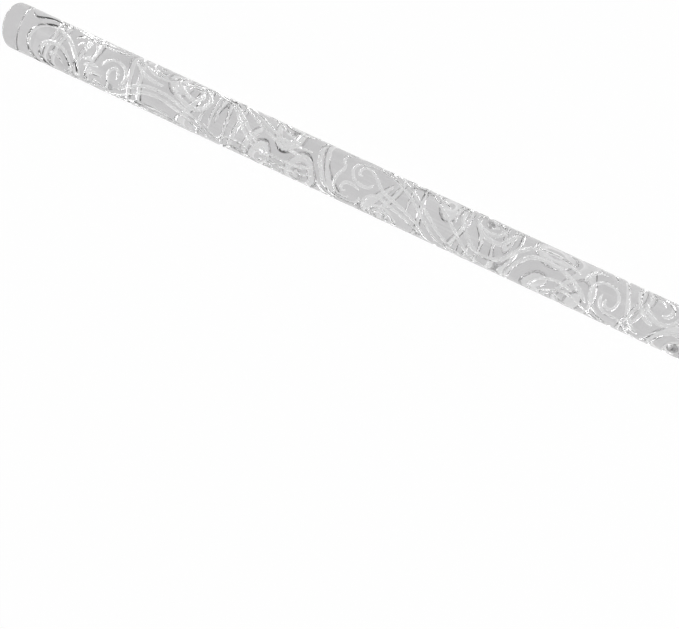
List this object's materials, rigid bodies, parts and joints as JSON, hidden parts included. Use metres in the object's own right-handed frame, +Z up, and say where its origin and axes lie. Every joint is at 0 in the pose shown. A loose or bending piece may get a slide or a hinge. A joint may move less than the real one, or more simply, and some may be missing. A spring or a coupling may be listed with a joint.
{
  "type": "acrylic rolling pin",
  "caption": "Solid clear rod for rolling out clay, engraved all round with a flowing cloud-and-wave scroll pattern, with short plain ends.",
  "frame": {"origin": "middle of the rod's axis", "axes": "+X along the rod, +Z up as it lies, so the surface it lies on is at z = -0.010"},
  "size_m": [0.33, 0.02, 0.02],
  "materials": {
    "clear_acrylic": "clear and polished, with lighter engraved grooves"
  },
  "bodies": {
    "root": {"rolling_pin": "clear_acrylic"}
  },
  "joints": []
}
